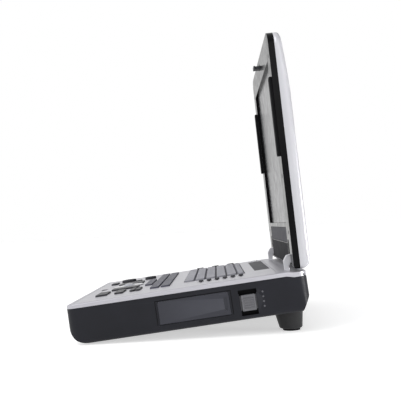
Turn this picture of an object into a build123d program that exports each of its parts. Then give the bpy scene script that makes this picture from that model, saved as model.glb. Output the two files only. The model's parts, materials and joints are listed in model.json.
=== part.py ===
"""Clamshell control console: a thick tilted base with a full keyboard, and a hinged display lid.

Millimetres, +Z up. The console stands on its feet on z = 0, +Y is its rear and +X its right side.
The base is drawn in its own frame (BASE): x to the right, y back from the front edge of the deck's
flat top, z out of the deck. The lid is drawn in LID: x to the right, y up the lid from the hinge,
z towards the user.
"""
import math
import os

from build123d import *

os.makedirs("parts", exist_ok=True)

# ---- Base: driving dimensions -----------------------------------------------------------------
WIDTH = 380.0
FRONT = -3.0  # front wall: the deck's rounded lip stands this far forward
LENGTH = 352.0  # rear wall
CASE_DEPTH = 60.0  # deck surface down to the underside
RIM_HEIGHT = 6.5  # silver rim of the deck, seen from the side
WALL = 3.0
DECK_PLATE = 3.0
CORNER_R = 14.0
CHIN_R = 29.0  # lower front edge
SIDE_EDGE_R = 8.0  # lower edges of the two sides
LIP_R = 6.0  # front edge of the deck
DECK_EDGE_R = 3.0
REAR_WALL_LOW = -38.0  # the rear wall ends here and a chamfer runs down to the underside
REAR_CHAMFER = 13.0
TILT = 5.3  # the deck rises towards the rear

DIP_START = 322.0  # the deck steps down under the lid
DIP_END = 333.0
DIP = 2.5

FRONT_PAD_Y = 32.0
FRONT_PAD_HEIGHT = 2.5
REAR_FOOT_X = 150.0
REAR_FOOT_Y = 321.0
REAR_FOOT_R = 21.5
REAR_FOOT_TAPER = 0.175  # radius lost per length
FOOT_EDGE_R = 2.5
FOOT_PAD = 3.0
FOOT_PAD_R = 13.0

# ---- Lid: driving dimensions ------------------------------------------------------------------
LID_WIDTH = 376.0
LID_TOP = 335.5  # from the hinge axis
LID_BOTTOM = -17.5
LID_BEND = [(240.0, -13.3), (290.0, -10.3), (LID_TOP, -7.3)]  # the back draws in towards the top
LID_FACE = 12.0  # inner face, in front of the hinge axis
LID_SPLIT = 2.5  # joint between bezel and back cover
LID_BACK = -13.0  # back of the cover at the hinge
LID_HEEL_R = 15.0  # lower back edge
LID_ANGLE = 92.3  # opening angle at rest
LID_SHELL = 3.0
HINGE_Y = 347.4
HINGE_Z = 19.0
HINGE_X = 150.0
ARM_FRONT = 324.0  # front of the hinge arms, which rise from the deck in front of the lid
ARM_WIDTH = 7.0
ARM_SLOT = (-20.0, 25.0)  # slot for an arm in the lid, along the lid
PIN_R = 3.0

SCREEN_WIDTH = 304.0
SCREEN_BOTTOM = 50.5
SCREEN_TOP = 297.5
SCREEN_DEPTH = 4.6  # the glass sits this far behind the bezel's face
CHIN_PANEL = (138.0, 20.3, 43.7)  # half width, bottom, top
HOOK_Y = 321.5

# ---- Controls: driving dimensions -------------------------------------------------------------
KEYBOARD_LEFT = -160.0
KEYBOARD_WIDTH = 260.0
KEY_UNIT = KEYBOARD_WIDTH / 15
KEY_PITCH = 17.15
KEYBOARD_FRONT = 168.75
FUNCTION_ROW = 11.75
KEYBOARD_DEPTH = 5 * KEY_PITCH + FUNCTION_ROW
KEY_GAP = 1.8
KEY_TOP = 2.3
KEY_FOOT = -2.5  # lower end of the keycaps
KEY_TRAVEL_ROOM = 0.4  # gap around each key that passes through its own hole
KEY_ROWS = [
    [1.5, 1.25, 1.25, 5.5, 1.25, 1.25, 1, 1, 1],
    [2.25] + [1] * 10 + [1.75, 1],
    [1.75] + [1] * 11 + [2.25],
    [1.5] + [1] * 12 + [1.5],
    [1] * 13 + [2],
    [1] * 15,
]

SLIDER_X = 134.0
SLIDER_TRAVEL = 12.0  # each way
SLIDER_FIRST_Y = 197.0
SLIDER_PITCH = 12.3
SLIDER_COUNT = 6
SLIDER_SLOT = 3.0
SLIDER_KNOB = (8.0, 7.5, 2.6)  # width, depth, height

DIALS = {"front": (-110.0, 54.5, 13.5), "rear": (-105.0, 96.0, 10.5)}  # x, y, radius
DIAL_TOP = 4.6
DIAL_GRIPS = 24
SHAFT_R = 3.0
RUNNING = 0.05  # radial clearance of a shaft in its hole

BALL_Y = 68.0
BALL_R = 19.0
BALL_Z = -14.0
BALL_SEAT = 0.4
CUP_R = 21.5
RING_R = 25.5
CLUSTER_TOP = 2.6
CLUSTER_PLATE = -6.0  # underside of the plate that joins a cluster's keys

WINDOW = (-36.0, 295.5, 225.0, 25.0)  # status window: x, y, width, depth
WINDOW_SEAT = 1.5
POWER = (-168.0, 296.0, 6.5)  # power button: x, y, radius

DOOR_Y, DOOR_Z = 183.0, -32.0
DOOR_LENGTH, DOOR_HEIGHT, DOOR_THICK = 104.0, 34.0, 2.5
DOOR_RECESS = 0.3
DOOR_CORNER_R = 4.0
DOOR_PIN_R = 0.9
BODY_GAP = 0.3
CLEAR = 0.02  # between pieces that are fitted against a wall

LATCH_Y = 262.5
LATCH_WIDTH, LATCH_HEIGHT = 20.0, 23.0
LATCH_BOTTOM = -47.0
LATCH_PROUD = 0.8
LATCH_BACK = 181.0  # inner end of the latch button

BOARD_Z = -12.0  # underside of the control board
BOARD = 1.6

# ---- Frames -----------------------------------------------------------------------------------
SIN, COS = math.sin(math.radians(TILT)), math.cos(math.radians(TILT))
FRONT_HEIGHT = (CASE_DEPTH + FRONT_PAD_HEIGHT) * COS - FRONT_PAD_Y * SIN
FRONT_Y = -177.4  # centres the console's outline on the origin

BASE = Plane(origin=(0, FRONT_Y, FRONT_HEIGHT), x_dir=(1, 0, 0), z_dir=(0, -SIN, COS))
BASE_SIDE = Plane(origin=BASE.origin, x_dir=BASE.y_dir, z_dir=BASE.x_dir)
BASE_REAR = Plane(origin=BASE.origin, x_dir=-BASE.x_dir, z_dir=BASE.y_dir)
LID = Plane(BASE.location * Pos(0, HINGE_Y, HINGE_Z) * Rot(180 - LID_ANGLE, 0, 0))
LID_SIDE = Plane(origin=LID.origin, x_dir=LID.y_dir, z_dir=LID.x_dir)
BASE_UP = Axis(BASE.origin, BASE.z_dir)
DOOR_AXIS = Plane(BASE.location * Pos(
    WIDTH / 2 - DOOR_RECESS - DOOR_THICK / 2, DOOR_Y, DOOR_Z - DOOR_HEIGHT / 2 + DOOR_THICK / 2)
    * Rot(90, 0, 0))


def save(builder, node):
    """Label a finished piece and write its STEP file."""
    builder.part.label = node
    export_step(builder.part, f"parts/{node}.step")


def box_on(frame, x, y, z, mode=Mode.ADD):
    """Add a box to the open part: x, y and z are (low, high) pairs in the frame."""
    with BuildSketch(frame.offset(z[0])) as outline:
        with Locations(((x[0] + x[1]) / 2, (y[0] + y[1]) / 2)):
            Rectangle(x[1] - x[0], y[1] - y[0])
    extrude(outline.sketch, amount=z[1] - z[0], mode=mode)


def posts_on(frame, places, radius, z, mode=Mode.ADD):
    """Add round posts to the open part, from z[0] to z[1] in the frame."""
    with BuildSketch(frame.offset(z[0])) as outline:
        with Locations(*places):
            Circle(radius)
    extrude(outline.sketch, amount=z[1] - z[0], mode=mode)


# ---- Base shells ------------------------------------------------------------------------------
def base_plan(inset):
    """Sketch of the base's rounded plan, shrunk by inset."""
    with Locations((0, (FRONT + LENGTH) / 2)):
        RectangleRounded(WIDTH - 2 * inset, LENGTH - FRONT - 2 * inset, CORNER_R - inset)


def case_block(inset):
    """The lower case's outline, shrunk by inset on every wall and open upwards when inset."""
    over = WALL if inset else 0
    with BuildPart() as block:
        with BuildSketch(BASE_SIDE):
            with BuildLine():
                Polyline(
                    (FRONT + inset, -RIM_HEIGHT + over), (DIP_START, -RIM_HEIGHT + over),
                    (DIP_END, -RIM_HEIGHT - DIP + over), (LENGTH - inset, -RIM_HEIGHT - DIP + over),
                    (LENGTH - inset, REAR_WALL_LOW),
                    (LENGTH - REAR_CHAMFER - inset, -CASE_DEPTH + inset),
                    (FRONT + inset, -CASE_DEPTH + inset), close=True)
            make_face()
            corner = vertices().sort_by_distance((FRONT + inset, -CASE_DEPTH + inset))[0]
            fillet(corner, radius=CHIN_R - inset)
        extrude(amount=WIDTH / 2, both=True)
        with BuildSketch(BASE.offset(-CASE_DEPTH - 1)):
            base_plan(inset)
        extrude(amount=CASE_DEPTH + 2, mode=Mode.INTERSECT)
        with BuildSketch(BASE_REAR.offset(FRONT)):
            Rectangle(WIDTH - 2 * inset, 2 * (CASE_DEPTH - inset))
            fillet(vertices().group_by(Axis.Y)[0], radius=SIDE_EDGE_R - inset)
        extrude(amount=LENGTH - FRONT, mode=Mode.INTERSECT)
    return block.part


CAVITY = case_block(WALL)
LEFT_VENTS = [(232 + 6.5 * i, -41) for i in range(10)]
FLOOR_VENTS = [(-150 + 9 * i, 262) for i in range(-3, 4)]
BASE_SCREWS = [(x, y) for x in (-168, 168) for y in (60, 112)] + [(x, 250) for x in (-90, 90)]
DOTS = [(284.5, -22.5 - 7 * i) for i in range(4)]
DOT_R = 1.35
REAR_PANEL = (110.0, -33.0, -13.0)  # half width, bottom, top of the connector window
SCREW_HEAD_SEAT = -56.0
SCREW_POST_TOP = -50.0
LATCH_WINDOW = (24.6, 37.4, -35.0)  # width, height, middle
LATCH_SLOT = (27.0, 6.0, -19.3)

with BuildPart() as bottom_case:
    add(case_block(0))
    add(CAVITY, mode=Mode.SUBTRACT)
    posts_on(BASE, BASE_SCREWS, 6, (-CASE_DEPTH + WALL, SCREW_POST_TOP))
    posts_on(BASE, BASE_SCREWS, 3.3, (-CASE_DEPTH, SCREW_HEAD_SEAT), mode=Mode.SUBTRACT)
    posts_on(BASE, BASE_SCREWS, 1.7, (SCREW_HEAD_SEAT, SCREW_POST_TOP), mode=Mode.SUBTRACT)
    # right wall: door window with square lower corners, latch window and its cross slot
    with BuildSketch(BASE_SIDE.offset(WIDTH / 2 - 2 * WALL)):
        with Locations((DOOR_Y, DOOR_Z)):
            RectangleRounded(DOOR_LENGTH + 2 * BODY_GAP, DOOR_HEIGHT + 2 * BODY_GAP, DOOR_CORNER_R)
        with Locations((DOOR_Y, DOOR_Z - DOOR_HEIGHT / 2 - BODY_GAP)):
            Rectangle(DOOR_LENGTH + 2 * BODY_GAP, DOOR_CORNER_R, align=(Align.CENTER, Align.MIN))
        for width, height, middle in (LATCH_WINDOW, LATCH_SLOT):
            with Locations((LATCH_Y, middle)):
                Rectangle(width, height)
    extrude(amount=2 * WALL + 1, mode=Mode.SUBTRACT)
    with BuildSketch(BASE_SIDE.offset(WIDTH / 2 - WALL / 2)):
        with Locations(*DOTS):
            Circle(DOT_R)
    extrude(amount=WALL, mode=Mode.SUBTRACT)
    # pin holes of the door, in the window's two ends
    with BuildSketch(DOOR_AXIS):
        Circle(DOOR_PIN_R + RUNNING)
    extrude(amount=DOOR_LENGTH / 2 + 3, both=True, mode=Mode.SUBTRACT)
    # left wall and floor: cooling slots
    with BuildSketch(BASE_SIDE.offset(-WIDTH / 2 - 1)):
        with Locations(*LEFT_VENTS):
            SlotOverall(20, 3, rotation=90)
    extrude(amount=6, mode=Mode.SUBTRACT)
    with BuildSketch(BASE.offset(-CASE_DEPTH - 1)):
        with Locations(*FLOOR_VENTS):
            SlotOverall(44, 3.2, rotation=90)
    extrude(amount=6, mode=Mode.SUBTRACT)
    # rear wall: connector window
    box_on(BASE, (-REAR_PANEL[0], REAR_PANEL[0]), (LENGTH - 6, LENGTH + 1), REAR_PANEL[1:],
           mode=Mode.SUBTRACT)
save(bottom_case, "bottom_case")


def key_places(rows):
    """Key rectangles (x, y, width, depth) from rows of (y, depth, width, [x, ...])."""
    return [(x, y, width, depth) for y, depth, width, xs in rows for x in xs]


FULL_ROW = [-136 + 25.2 * i for i in range(11)]
CLUSTERS = {
    "right_key_cluster": key_places([
        (40, 17, 23, (91, 116.5)), (67.5, 13, 23, (91, 116.5)),
        (88, 7, 20, (91, 114)), (97, 7, 20, (91, 114))]),
    "left_key_cluster": key_places([(31, 12, 28, (-92,)), (76, 11, 14, (-85,))]),
    "function_keys": key_places([
        (107, 12, 21, FULL_ROW[4:8]), (123.5, 13.5, 21, FULL_ROW), (140.5, 13.5, 21, FULL_ROW)]),
    "side_keys": key_places([(y, 13, 12, (-170,)) for y in (189, 219, 249)]),
}


def ball_key(side, grow):
    """Sketch of the key beside the trackball, side -1 or 1, grown by a gap."""
    with Locations((side * 43, BALL_Y)):
        RectangleRounded(34 + 2 * grow, 44 + 2 * grow, 4)
    with Locations((0, BALL_Y)):
        Circle(RING_R + 3 - grow, mode=Mode.SUBTRACT)


with BuildPart() as top_deck:
    with BuildSketch(BASE_SIDE):
        with BuildLine():
            Polyline(
                (FRONT, 0), (DIP_START, 0), (DIP_END, -DIP), (LENGTH, -DIP),
                (LENGTH, -RIM_HEIGHT - DIP), (DIP_END, -RIM_HEIGHT - DIP),
                (DIP_START, -RIM_HEIGHT), (FRONT, -RIM_HEIGHT), close=True)
        make_face()
        fillet(vertices().sort_by_distance((FRONT, 0))[0], radius=LIP_R)
    extrude(amount=WIDTH / 2, both=True)
    with BuildSketch(BASE.offset(-CASE_DEPTH)):
        base_plan(0)
    extrude(amount=CASE_DEPTH + 1, mode=Mode.INTERSECT)
    with BuildSketch(BASE_REAR.offset(FRONT)):
        with Locations((0, -CASE_DEPTH / 2)):
            Rectangle(WIDTH, CASE_DEPTH)
        fillet(vertices().group_by(Axis.Y)[-1], radius=DECK_EDGE_R)
    extrude(amount=LENGTH - FRONT, mode=Mode.INTERSECT)
    # hollow underneath
    with BuildSketch(BASE_SIDE):
        with BuildLine():
            Polyline(
                (FRONT + 2 * WALL, -DECK_PLATE), (DIP_START - 1, -DECK_PLATE),
                (DIP_END - 1, -DECK_PLATE - DIP), (LENGTH - WALL, -DECK_PLATE - DIP),
                (LENGTH - WALL, -20), (FRONT + 2 * WALL, -20), close=True)
        make_face()
    extrude(amount=WIDTH / 2 - WALL, both=True, mode=Mode.SUBTRACT)
    # seam between the panel and the rim
    with BuildSketch(BASE.offset(-0.8)):
        with Locations((0, (LENGTH - 34) / 2)):
            RectangleRounded(WIDTH - 14, LENGTH - 48, 8)
            RectangleRounded(WIDTH - 16, LENGTH - 50, 7, mode=Mode.SUBTRACT)
    extrude(amount=2, mode=Mode.SUBTRACT)
    # everything that passes through the plate
    with BuildSketch(BASE.offset(-20)):
        with Locations((KEYBOARD_LEFT + KEYBOARD_WIDTH / 2, KEYBOARD_FRONT + KEYBOARD_DEPTH / 2)):
            RectangleRounded(KEYBOARD_WIDTH + 1, KEYBOARD_DEPTH + 1, 1.5)
        for i in range(SLIDER_COUNT):
            with Locations((SLIDER_X, SLIDER_FIRST_Y + i * SLIDER_PITCH)):
                SlotOverall(2 * (SLIDER_TRAVEL + SLIDER_SLOT), SLIDER_SLOT)
        for x, y, radius in DIALS.values():
            with Locations((x, y)):
                Circle(SHAFT_R + RUNNING)
        for keys in CLUSTERS.values():
            for x, y, width, depth in keys:
                with Locations((x, y)):
                    RectangleRounded(width + 2 * KEY_TRAVEL_ROOM, depth + 2 * KEY_TRAVEL_ROOM, 1.6)
        for side in (-1, 1):
            ball_key(side, KEY_TRAVEL_ROOM)
            with Locations((side * HINGE_X, ARM_FRONT + 4)):
                Rectangle(ARM_WIDTH + 1, 9)
        with Locations((0, BALL_Y)):
            Circle(CUP_R + 0.5)
        with Locations(POWER[:2]):
            Circle(POWER[2] + KEY_TRAVEL_ROOM)
        # latch slot, where the hook enters when the lid is shut
        with Locations((4, HINGE_Y - HOOK_Y)):
            Rectangle(27, 10)
    extrude(amount=30, mode=Mode.SUBTRACT)
    # shallow seat of the status window
    with BuildSketch(BASE.offset(-WINDOW_SEAT)):
        with Locations(WINDOW[:2]):
            RectangleRounded(WINDOW[2], WINDOW[3], 2)
    extrude(amount=2 * WINDOW_SEAT, mode=Mode.SUBTRACT)
save(top_deck, "top_deck")

# ---- Feet and screws --------------------------------------------------------------------------
with BuildPart() as rear_feet:
    with Locations(*[BASE.location * Pos(side * REAR_FOOT_X, REAR_FOOT_Y, -CASE_DEPTH - 20)
                     for side in (-1, 1)]):
        Cone(bottom_radius=REAR_FOOT_R - 40 * REAR_FOOT_TAPER, top_radius=REAR_FOOT_R, height=40)
    split(bisect_by=Plane.XY.offset(FOOT_PAD), keep=Keep.TOP)
    fillet(rear_feet.faces().group_by(Axis.Z)[0].edges(), radius=FOOT_EDGE_R)
save(rear_feet, "rear_feet")

with BuildPart() as rear_foot_pads:
    pad_centre = BASE.from_local_coords((0, REAR_FOOT_Y, -89))
    with BuildSketch():
        with Locations((-REAR_FOOT_X, pad_centre.Y), (REAR_FOOT_X, pad_centre.Y)):
            Circle(FOOT_PAD_R)
    extrude(amount=FOOT_PAD)
save(rear_foot_pads, "rear_foot_pads")

with BuildPart() as front_pads:
    with BuildSketch(BASE.offset(-CASE_DEPTH)):
        with Locations((-120, FRONT_PAD_Y), (120, FRONT_PAD_Y)):
            SlotOverall(44, 13)
    extrude(amount=-6)
    split(bisect_by=Plane.XY, keep=Keep.TOP)
save(front_pads, "front_pads")

with BuildPart() as base_screws:
    posts_on(BASE, BASE_SCREWS, 3.0, (-CASE_DEPTH + 0.6, SCREW_HEAD_SEAT - 0.1))
    posts_on(BASE, BASE_SCREWS, 1.5, (SCREW_HEAD_SEAT - 0.1, SCREW_POST_TOP))
save(base_screws, "base_screws")

# ---- Keyboard, sliders and function keys ------------------------------------------------------
with BuildPart() as keyboard_backplate:
    box_on(BASE, (KEYBOARD_LEFT - 3, 165), (KEYBOARD_FRONT - 5, KEYBOARD_FRONT + KEYBOARD_DEPTH + 5),
           (-7, -6))
save(keyboard_backplate, "keyboard_backplate")

for number, units in enumerate(KEY_ROWS, start=1):
    front = KEYBOARD_FRONT + (number - 1) * KEY_PITCH
    depth = FUNCTION_ROW if number == len(KEY_ROWS) else KEY_PITCH
    with BuildPart() as key_row:
        box_on(BASE, (KEYBOARD_LEFT + 0.5, KEYBOARD_LEFT + KEYBOARD_WIDTH - 0.5),
               (front + 0.5, front + depth - 0.5), (KEY_FOOT - 1, KEY_FOOT))
        with BuildSketch(BASE.offset(KEY_FOOT)):
            left = KEYBOARD_LEFT
            for unit in units:
                width = unit * KEY_UNIT
                with Locations((left + width / 2, front + depth / 2)):
                    RectangleRounded(width - KEY_GAP, depth - KEY_GAP, 1.5)
                left += width
        extrude(amount=KEY_TOP - KEY_FOOT, taper=7)
    save(key_row, f"key_row_{number}")

knob_width, knob_depth, knob_height = SLIDER_KNOB
for number in range(1, SLIDER_COUNT + 1):
    slider_y = SLIDER_FIRST_Y + (number - 1) * SLIDER_PITCH
    with BuildPart() as level_slider:
        box_on(BASE, (SLIDER_X - 2, SLIDER_X + 2), (slider_y - 1, slider_y + 1), (-5.6, BODY_GAP))
        with BuildSketch(BASE.offset(BODY_GAP)):
            with Locations((SLIDER_X, slider_y)):
                RectangleRounded(knob_width, knob_depth, 1)
        extrude(amount=knob_height, taper=8)
        # pointer groove across the knob
        box_on(BASE, (SLIDER_X - 0.5, SLIDER_X + 0.5), (slider_y - knob_depth, slider_y + knob_depth),
               (BODY_GAP + knob_height - 0.6, BODY_GAP + knob_height + 1), mode=Mode.SUBTRACT)
    save(level_slider, f"level_slider_{number}")

for node, keys in CLUSTERS.items():
    lows = [min(x - width / 2 for x, y, width, depth in keys),
            min(y - depth / 2 for x, y, width, depth in keys)]
    highs = [max(x + width / 2 for x, y, width, depth in keys),
             max(y + depth / 2 for x, y, width, depth in keys)]
    with BuildPart() as cluster:
        box_on(BASE, (lows[0], highs[0]), (lows[1], highs[1]), (CLUSTER_PLATE, CLUSTER_PLATE + 1))
        with BuildSketch(BASE.offset(CLUSTER_PLATE + 1)):
            for x, y, width, depth in keys:
                with Locations((x, y)):
                    RectangleRounded(width, depth, 1.5)
        extrude(amount=CLUSTER_TOP - CLUSTER_PLATE - 1)
        fillet(cluster.faces().group_by(BASE_UP)[-1].edges(), radius=0.8)
    save(cluster, node)

# ---- Trackball and its keys -------------------------------------------------------------------
BALL_CENTRE = BASE.location * Pos(0, BALL_Y, BALL_Z)

with BuildPart() as trackball:
    with Locations(BALL_CENTRE):
        Sphere(BALL_R)
save(trackball, "trackball")

with BuildPart() as trackball_ring:
    posts_on(BASE, [(0, BALL_Y)], CUP_R + 0.3, (-1, 0))
    posts_on(BASE, [(0, BALL_Y)], RING_R, (0, 1.6))
    fillet(trackball_ring.faces().sort_by(BASE_UP)[-1].edges(), radius=1)
    with Locations(BALL_CENTRE):
        Sphere(BALL_R + BALL_SEAT, mode=Mode.SUBTRACT)
save(trackball_ring, "trackball_ring")

with BuildPart() as trackball_cup:
    posts_on(BASE, [(0, BALL_Y)], CUP_R, (-36, -1))
    with Locations(BALL_CENTRE):
        Sphere(BALL_R + BALL_SEAT, mode=Mode.SUBTRACT)
save(trackball_cup, "trackball_cup")

for node, side in {"trackball_key_left": -1, "trackball_key_right": 1}.items():
    with BuildPart() as ball_side_key:
        with BuildSketch(BASE.offset(-4.5)):
            ball_key(side, 0)
        extrude(amount=7)
        fillet(ball_side_key.faces().sort_by(BASE_UP)[-1].edges(), radius=0.8)
    save(ball_side_key, node)

# ---- Dials, power button, status window -------------------------------------------------------
for name, (dial_x, dial_y, radius) in DIALS.items():
    with BuildPart() as dial:
        posts_on(BASE, [(dial_x, dial_y)], SHAFT_R, (BOARD_Z + BOARD + BODY_GAP, BODY_GAP))
        posts_on(BASE, [(dial_x, dial_y)], radius, (BODY_GAP, DIAL_TOP))
        fillet(dial.faces().sort_by(BASE_UP)[-1].edges(), radius=0.8)
        with BuildSketch(BASE):
            with Locations((dial_x, dial_y)):
                with PolarLocations(radius + 0.2, DIAL_GRIPS):
                    Circle(0.7)
        extrude(amount=DIAL_TOP + 1, mode=Mode.SUBTRACT)
        # pointer groove
        box_on(BASE, (dial_x - 0.6, dial_x + 0.6), (dial_y + radius / 2, dial_y + radius - 2),
               (DIAL_TOP - 0.5, DIAL_TOP + 1), mode=Mode.SUBTRACT)
    save(dial, f"{name}_dial")

with BuildPart() as power_button:
    posts_on(BASE, [POWER[:2]], POWER[2], (-4.5, 1.6))
    fillet(power_button.faces().sort_by(BASE_UP)[-1].edges(), radius=0.6)
save(power_button, "power_button")

with BuildPart() as status_window:
    with BuildSketch(BASE.offset(-WINDOW_SEAT)):
        with Locations(WINDOW[:2]):
            RectangleRounded(WINDOW[2] - 0.4, WINDOW[3] - 0.4, 1.8)
    extrude(amount=WINDOW_SEAT - 0.2)
save(status_window, "status_window")

# ---- Right side: door, port bay, latch, indicators --------------------------------------------
with BuildPart() as side_door:
    with BuildSketch(BASE_SIDE.offset(WIDTH / 2 - DOOR_RECESS - DOOR_THICK)):
        with Locations((DOOR_Y, DOOR_Z)):
            RectangleRounded(DOOR_LENGTH, DOOR_HEIGHT, DOOR_CORNER_R)
        with Locations((DOOR_Y, DOOR_Z - DOOR_HEIGHT / 2)):
            Rectangle(DOOR_LENGTH, DOOR_CORNER_R, align=(Align.CENTER, Align.MIN))
    extrude(amount=DOOR_THICK)
    low_edges = side_door.edges().filter_by(GeomType.LINE).filter_by(Axis((0, 0, 0), BASE.y_dir))
    fillet(low_edges.group_by(BASE_UP)[0], radius=1.2)
    with BuildSketch(DOOR_AXIS):
        Circle(DOOR_PIN_R)
    extrude(amount=DOOR_LENGTH / 2 + 2.5, both=True)
    # finger slot
    with BuildSketch(BASE_SIDE.offset(WIDTH / 2 - DOOR_RECESS - DOOR_THICK / 2)):
        with Locations((DOOR_Y + DOOR_LENGTH / 2 - 5.5, DOOR_Z)):
            SlotOverall(20, 5, rotation=90)
    extrude(amount=2, mode=Mode.SUBTRACT)
save(side_door, "side_door")

with BuildPart() as port_bay:
    box_on(BASE, (165, WIDTH / 2 - WALL - CLEAR), (127, 239), (-53, -11.5))
    box_on(BASE, (166.6, WIDTH / 2), (128.6, 237.4), (-51.4, -13.1), mode=Mode.SUBTRACT)
    add(CAVITY, mode=Mode.INTERSECT)
save(port_bay, "port_bay")

with BuildPart() as side_ports:
    for port_y in (150, 172, 194, 216):
        box_on(BASE, (166.6, 176), (port_y - 8, port_y + 8), (-42, -26))
        for port_z in (-38, -30):
            box_on(BASE, (172.5, 177), (port_y - 6.5, port_y + 6.5), (port_z - 2.6, port_z + 2.6),
                   mode=Mode.SUBTRACT)
save(side_ports, "side_ports")

with BuildPart() as latch_housing:
    box_on(BASE, (179, WIDTH / 2 - WALL - CLEAR), (246, 279), (-55.8, -13))
    box_on(BASE, (180.5, WIDTH / 2), (247.5, 277.5), (-54.5, -14.5), mode=Mode.SUBTRACT)
    add(CAVITY, mode=Mode.INTERSECT)
save(latch_housing, "latch_housing")

with BuildPart() as side_latch:
    latch_z = (LATCH_BOTTOM, LATCH_BOTTOM + LATCH_HEIGHT)
    box_on(BASE, (LATCH_BACK, WIDTH / 2 + LATCH_PROUD),
           (LATCH_Y - LATCH_WIDTH / 2, LATCH_Y + LATCH_WIDTH / 2), latch_z)
    # ears behind the wall keep the button in its window
    box_on(BASE, (LATCH_BACK, LATCH_BACK + 5.5), (LATCH_Y - 13.8, LATCH_Y + 13.8),
           (latch_z[0] + 1, latch_z[1] - 1))
    for groove in range(5):
        groove_z = LATCH_BOTTOM + 4.5 + 3.5 * groove
        box_on(BASE, (WIDTH / 2, WIDTH / 2 + 2), (LATCH_Y - 8, LATCH_Y + 8),
               (groove_z - 0.7, groove_z + 0.7), mode=Mode.SUBTRACT)
save(side_latch, "side_latch")

with BuildPart() as indicator_lenses:
    with BuildSketch(BASE_SIDE.offset(WIDTH / 2 - WALL / 2)):
        with Locations(*DOTS):
            Circle(DOT_R - 0.05)
    extrude(amount=WALL / 2 + 0.3)
save(indicator_lenses, "indicator_lenses")

# ---- Inside the base --------------------------------------------------------------------------
with BuildPart() as control_board:
    box_on(BASE, (-172, 172), (24, 126.5), (BOARD_Z, BOARD_Z + BOARD))
    posts_on(BASE, [(0, BALL_Y)], CUP_R + 0.5, (BOARD_Z, BOARD_Z + BOARD), mode=Mode.SUBTRACT)
save(control_board, "control_board")

with BuildPart() as main_board:
    box_on(BASE, (-104, 155), (130, 318), (-44, -42.4))
    posts_on(BASE, [(60, 180), (60, 260), (110, 220)], 12, (-42.4, -34))
save(main_board, "main_board")

with BuildPart() as heat_sink:
    box_on(BASE, (-100, -30), (226, 292), (-42.4, -39))
    for fin in range(14):
        box_on(BASE, (-100 + 5.2 * fin, -98.5 + 5.2 * fin), (226, 292), (-39, -28))
save(heat_sink, "heat_sink")

with BuildPart() as battery_pack:
    box_on(BASE, (-155, -20), (30, 118), (-CASE_DEPTH + WALL, -37))
save(battery_pack, "battery_pack")

with BuildPart() as storage_drive:
    box_on(BASE, (20, 120), (30, 100), (-CASE_DEPTH + WALL, -47.5))
save(storage_drive, "storage_drive")

FAN = (-150.0, 262.0)

with BuildPart() as fan_housing:
    box_on(BASE, (FAN[0] - 35.8, FAN[0] + 36), (FAN[1] - 36, FAN[1] + 36), (-55, -31))
    posts_on(BASE, [FAN], 32, (-53.5, -32.5), mode=Mode.SUBTRACT)
    posts_on(BASE, [FAN], 25, (-56, -30), mode=Mode.SUBTRACT)
    box_on(BASE, (FAN[0] - 37, FAN[0]), (FAN[1] - 30, FAN[1] + 30), (-53.5, -32.5), mode=Mode.SUBTRACT)
    box_on(BASE, (FAN[0] - 34, FAN[0] + 34), (FAN[1] - 4, FAN[1] + 4), (-55, -53.5))
    posts_on(BASE, [FAN], 2, (-53.5, -40))
save(fan_housing, "fan_housing")

with BuildPart() as fan_rotor:
    posts_on(BASE, [FAN], 10, (-52.5, -35))
    with BuildSketch(BASE.offset(-51)):
        with Locations(FAN):
            with PolarLocations(0, 9):
                with Locations((19, 0)):
                    Rectangle(22, 1.4, rotation=18)
    extrude(amount=14)
    posts_on(BASE, [FAN], 2 + RUNNING, (-53, -39), mode=Mode.SUBTRACT)
save(fan_rotor, "fan_rotor")

SOCKETS = [(-92, 12, 10), (-68, 15, 13), (-46, 14, 6), (-26, 14, 6), (4, 28, 9), (40, 16, 6)]
ROUND_SOCKETS = [(66, 3.2), (78, 3.2), (96, 5)]

with BuildPart() as rear_connector_panel:
    half, low, high = REAR_PANEL
    box_on(BASE, (-half + 0.3, half - 0.3), (LENGTH - 9, LENGTH - 0.5), (low + 0.3, high - 0.3))
    with BuildSketch(BASE_REAR.offset(LENGTH - 4)):
        for socket_x, width, height in SOCKETS:
            with Locations((socket_x, (low + high) / 2)):
                RectangleRounded(width, height, 1.2)
        for socket_x, radius in ROUND_SOCKETS:
            with Locations((socket_x, (low + high) / 2)):
                Circle(radius)
    extrude(amount=7, mode=Mode.SUBTRACT)
save(rear_connector_panel, "rear_connector_panel")

# ---- Hinges -----------------------------------------------------------------------------------
with BuildPart() as hinge_brackets:
    for side in (-1, 1):
        with BuildSketch(BASE_SIDE.offset(side * HINGE_X - ARM_WIDTH / 2)):
            with BuildLine():
                Polyline(
                    (ARM_FRONT, -8.5), (ARM_FRONT, 14), (ARM_FRONT + 5.5, HINGE_Z + 2.5),
                    (HINGE_Y, HINGE_Z + 6.5), (HINGE_Y, HINGE_Z - 6.5), (ARM_FRONT + 11, 10),
                    (ARM_FRONT + 8, 5), (ARM_FRONT + 8, -8.5), close=True)
            make_face()
            fillet(vertices().sort_by_distance((ARM_FRONT, 14))[0], radius=8)
            with Locations((HINGE_Y, HINGE_Z)):
                Circle(6.5)
                Circle(PIN_R + 0.02, mode=Mode.SUBTRACT)
        extrude(amount=ARM_WIDTH)
        # foot under the deck plate
        box_on(BASE, (side * HINGE_X - 14, side * HINGE_X + 14), (ARM_FRONT - 4, ARM_FRONT + 16),
               (-8.5, -5.5))
save(hinge_brackets, "hinge_brackets")

with BuildPart() as hinge_pins:
    for side in (-1, 1):
        with BuildSketch(LID_SIDE.offset(side * HINGE_X - 20)):
            Circle(PIN_R)
        extrude(amount=40)
save(hinge_pins, "hinge_pins")

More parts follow.
